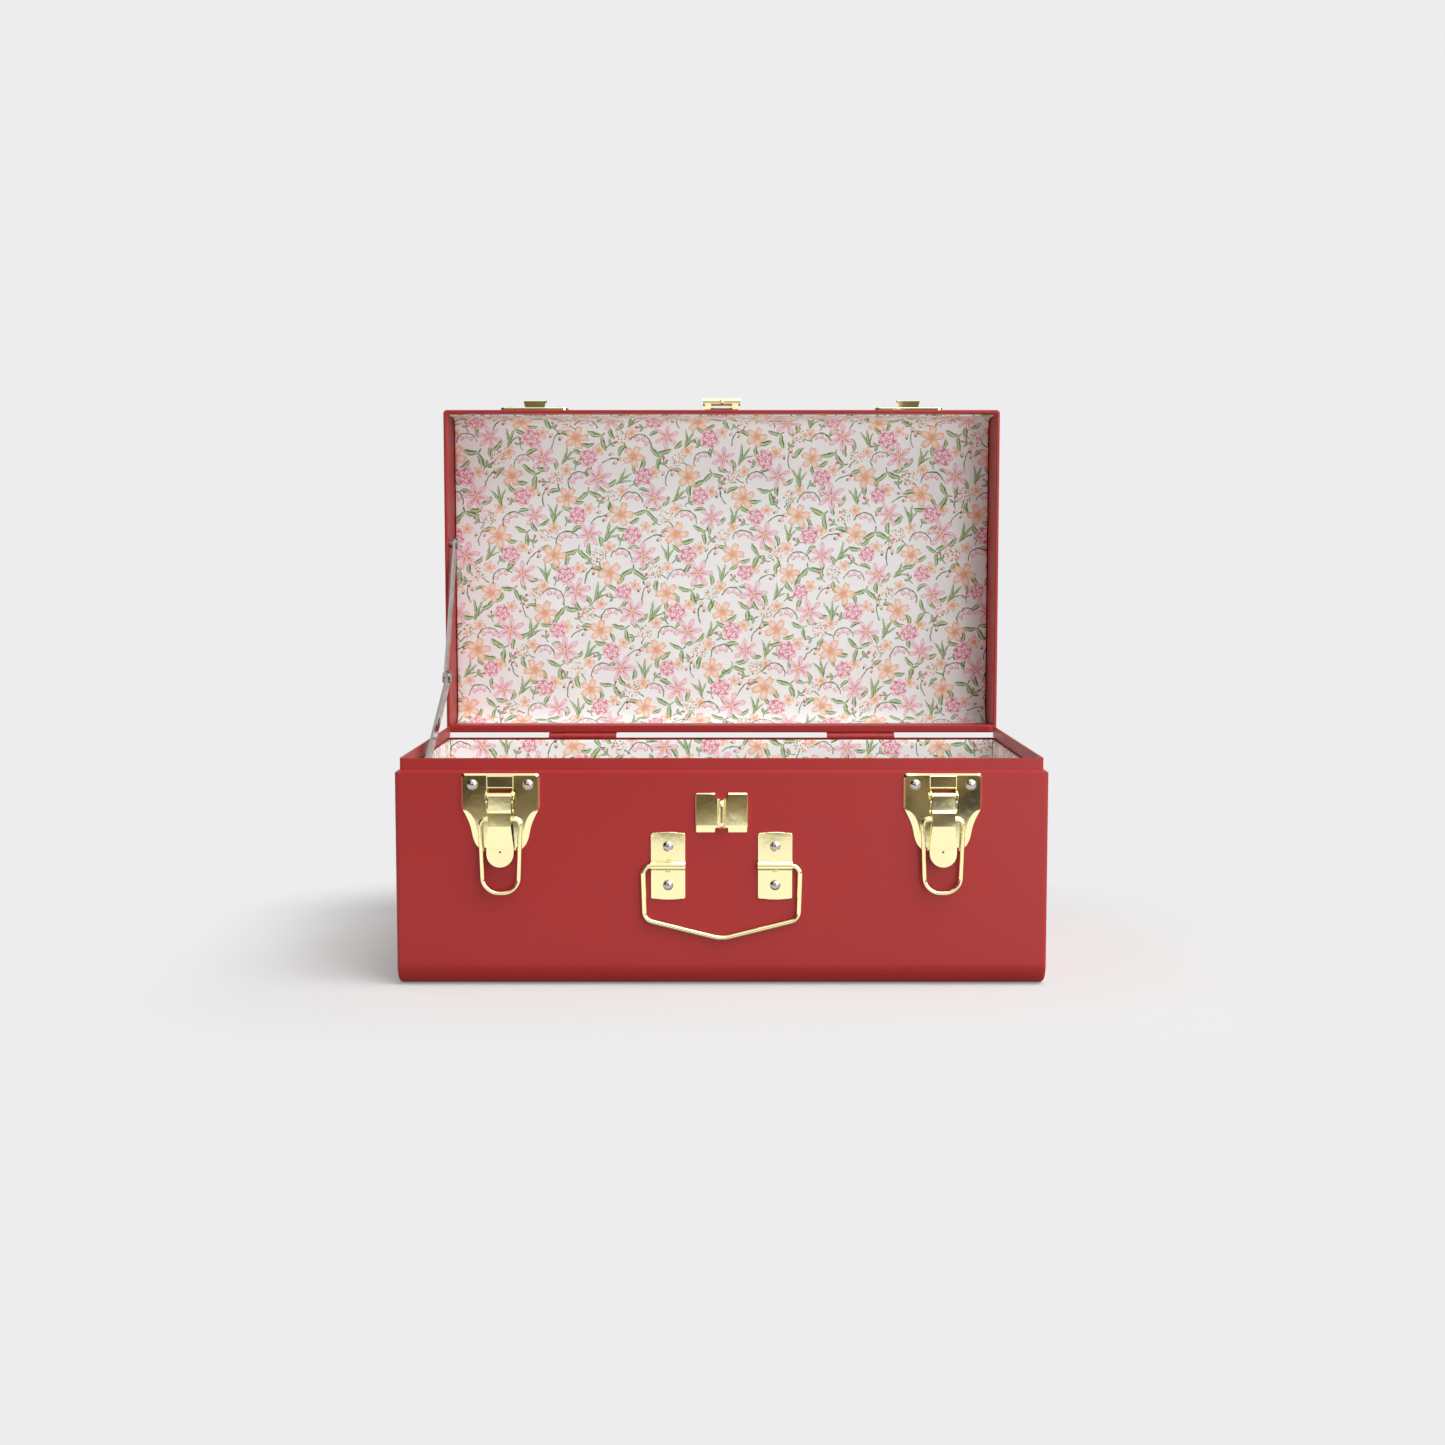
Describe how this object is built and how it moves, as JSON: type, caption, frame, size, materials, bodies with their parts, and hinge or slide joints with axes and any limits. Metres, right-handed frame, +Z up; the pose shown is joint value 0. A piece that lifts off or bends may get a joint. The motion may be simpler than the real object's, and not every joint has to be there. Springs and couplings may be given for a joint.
{
  "type": "mini trunk",
  "caption": "Small red metal trunk for dolls and plush, with a stepped lip, floral lining, draw latches, padlock hasp, wire handle and folding lid stay, modelled open",
  "frame": {"origin": "centre of the underside", "axes": "+X to the right along the front, +Y to the back, +Z up"},
  "size_m": [0.3, 0.2255, 0.2826],
  "materials": {
    "red_enamel": "gloss",
    "gilt_steel": "polished",
    "nickel_rivet": "polished",
    "bright_steel": "polished",
    "floral_lining": "matte, floral print on white"
  },
  "bodies": {
    "base": {"base_wrap": "red_enamel", "base_left_end": "red_enamel", "base_right_end": "red_enamel", "base_lining": "floral_lining", "base_left_lining": "floral_lining", "base_right_lining": "floral_lining", "hinge_left_base_leaf": "red_enamel", "hinge_right_base_leaf": "red_enamel", "hinge_left_base_rivets": "red_enamel", "hinge_right_base_rivets": "red_enamel", "hinge_left_pin": "red_enamel", "hinge_right_pin": "red_enamel", "latch_left_plate": "gilt_steel", "latch_right_plate": "gilt_steel", "latch_left_rivets": "nickel_rivet", "latch_right_rivets": "nickel_rivet", "latch_left_pin": "gilt_steel", "latch_right_pin": "gilt_steel", "padlock_staple": "gilt_steel", "handle_left_strap": "gilt_steel", "handle_right_strap": "gilt_steel", "handle_rivets": "nickel_rivet", "stay_bracket": "bright_steel", "stay_bracket_studs": "bright_steel"},
    "lid": {"lid_wrap": "red_enamel", "lid_left_end": "red_enamel", "lid_right_end": "red_enamel", "lid_lining": "floral_lining", "hinge_left_lid_leaf": "red_enamel", "hinge_right_lid_leaf": "red_enamel", "hinge_left_lid_rivets": "red_enamel", "hinge_right_lid_rivets": "red_enamel", "catch_left": "gilt_steel", "catch_right": "gilt_steel", "catch_left_rivets": "nickel_rivet", "catch_right_rivets": "nickel_rivet", "hasp_leaf": "gilt_steel", "hasp_pin": "gilt_steel", "hasp_rivets": "nickel_rivet", "stay_lid_stud": "bright_steel"},
    "left_lever": {"latch_left_lever": "gilt_steel"},
    "right_lever": {"latch_right_lever": "gilt_steel"},
    "left_bail": {"latch_left_bail": "gilt_steel"},
    "right_bail": {"latch_right_bail": "gilt_steel"},
    "handle": {"handle": "gilt_steel"},
    "hasp_flap": {"hasp_flap": "gilt_steel"},
    "stay_upper": {"stay_upper_link": "bright_steel"},
    "stay_lower": {"stay_lower_link": "bright_steel", "stay_slide_pin": "bright_steel", "stay_elbow_rivet": "bright_steel"}
  },
  "joints": [
    {"name": "lid_hinge", "type": "hinge", "parent": "base", "child": "lid", "pos_m": [0, 0.0895, 0.0993], "axis": [1, 0, 0], "range_deg": [0, 90]},
    {"name": "left_lever_pivot", "type": "hinge", "parent": "base", "child": "left_lever", "pos_m": [-0.1013, -0.09145, 0.0886], "axis": [1, 0, 0], "range_deg": [-110, 0]},
    {"name": "left_bail_pivot", "type": "hinge", "parent": "left_lever", "child": "left_bail", "pos_m": [-0.1013, -0.0906, 0.0779], "axis": [-1, 0, 0], "range_deg": [0, 180.6]},
    {"name": "right_lever_pivot", "type": "hinge", "parent": "base", "child": "right_lever", "pos_m": [0.1013, -0.09145, 0.0886], "axis": [1, 0, 0], "range_deg": [-110, 0]},
    {"name": "right_bail_pivot", "type": "hinge", "parent": "right_lever", "child": "right_bail", "pos_m": [0.1013, -0.0906, 0.0779], "axis": [-1, 0, 0], "range_deg": [0, 180.6]},
    {"name": "handle_pivot", "type": "hinge", "parent": "base", "child": "handle", "pos_m": [0, -0.08875, 0.0563], "axis": [-1, 0, 0], "range_deg": [0, 150]},
    {"name": "hasp_pivot", "type": "hinge", "parent": "lid", "child": "hasp_flap", "pos_m": [0, 0.0928, 0.28045], "axis": [1, 0, 0], "range_deg": [0, 180]},
    {"name": "stay_lid_pivot", "type": "hinge", "parent": "lid", "child": "stay_upper", "pos_m": [-0.1453, 0.0986, 0.2041], "axis": [1, 0, 0], "range_deg": [0, 10]},
    {"name": "stay_elbow", "type": "hinge", "parent": "stay_upper", "child": "stay_lower", "pos_m": [-0.1446, 0.0538, 0.1338], "axis": [1, 0, 0], "range_deg": [-133.99, 0]}
  ],
  "couplings": [
    {"joint": "stay_lid_pivot", "follows": "lid_hinge", "ratio": 0.11115},
    {"joint": "stay_elbow", "follows": "lid_hinge", "ratio": -1.4888}
  ]
}
